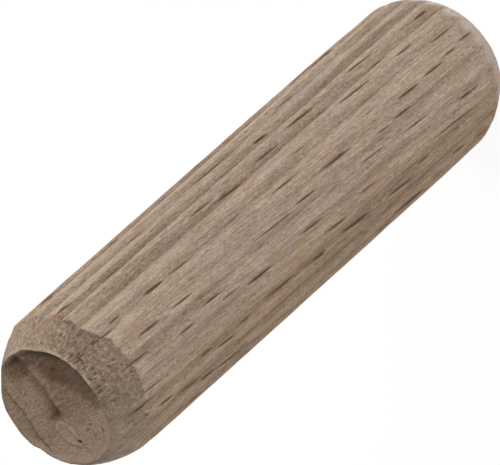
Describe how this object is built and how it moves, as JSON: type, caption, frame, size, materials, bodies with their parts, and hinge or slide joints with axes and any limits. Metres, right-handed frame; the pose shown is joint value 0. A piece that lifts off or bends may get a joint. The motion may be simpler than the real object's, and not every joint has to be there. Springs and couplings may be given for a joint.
{
  "type": "fluted dowel pin",
  "caption": "Fluted beech dowel pin with chamfered ends, one end torn hollow, for a glued joint between two bored wooden parts.",
  "frame": {"origin": "middle of the sound end, which the pin stands on", "axes": "+Z along the pin's axis, towards its torn end; -Y faces the seen side"},
  "size_m": [0.01, 0.01, 0.04],
  "materials": {
    "raw_beech": "bare weathered beech, cut along the grain, with dark ray flecks, unsealed and dull"
  },
  "bodies": {
    "root": {"dowel_pin": "raw_beech"}
  },
  "joints": []
}
